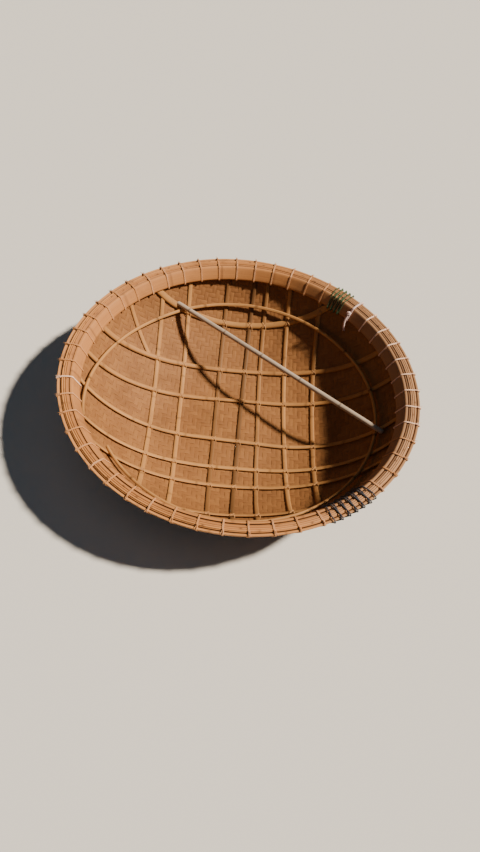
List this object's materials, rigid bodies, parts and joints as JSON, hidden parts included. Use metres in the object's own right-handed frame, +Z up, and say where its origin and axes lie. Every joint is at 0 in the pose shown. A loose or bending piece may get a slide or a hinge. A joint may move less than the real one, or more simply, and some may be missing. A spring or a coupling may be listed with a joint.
{
  "type": "coracle",
  "caption": "Round basket boat of woven split bamboo: shallow bowl hull with a flat foot, lashed hoop rim, crossed floor laths, inner stringer hoop and a pole thwart.",
  "frame": {"origin": "middle of the flat foot, on the ground, on the boat's axis", "axes": "+Z up along the boat's axis; X and Y along the two families of floor laths"},
  "size_m": [2.0114, 2.008, 0.5228],
  "materials": {
    "woven_bamboo": "split-bamboo twill weave, tan inside, sealed brown outside",
    "hoop_bamboo": "weathered split bamboo, satin",
    "lath_bamboo": "split bamboo laths, fibres along the length",
    "pole_bamboo": "grey weathered bamboo pole",
    "tie_cane": "pale cane and cord ties",
    "dark_cord": "blue-grey cord",
    "green_cord": "dark green cord",
    "pale_rope": "pale pinkish twisted rope"
  },
  "bodies": {
    "root": {"hull_weave": "woven_bamboo", "rim_inner_hoop_1": "hoop_bamboo", "rim_inner_hoop_2": "hoop_bamboo", "rim_outer_hoop_1": "hoop_bamboo", "rim_outer_hoop_2": "hoop_bamboo", "rim_cap_strip": "hoop_bamboo", "rim_ties": "tie_cane", "rim_binding_dark": "dark_cord", "rim_binding_green": "green_cord", "rope_hitch": "pale_rope", "rope_knot": "pale_rope", "rope_tail": "pale_rope", "lath_x_1": "lath_bamboo", "lath_x_2": "lath_bamboo", "lath_x_3": "lath_bamboo", "lath_x_4": "lath_bamboo", "lath_x_5": "lath_bamboo", "lath_x_6": "lath_bamboo", "lath_x_7": "lath_bamboo", "lath_y_1": "lath_bamboo", "lath_y_2": "lath_bamboo", "lath_y_3": "lath_bamboo", "lath_y_4": "lath_bamboo", "lath_y_5": "lath_bamboo", "lath_y_6": "lath_bamboo", "lath_y_7": "lath_bamboo", "lath_corner": "lath_bamboo", "stringer_hoop": "lath_bamboo", "thwart_pole": "pole_bamboo"}
  },
  "joints": []
}
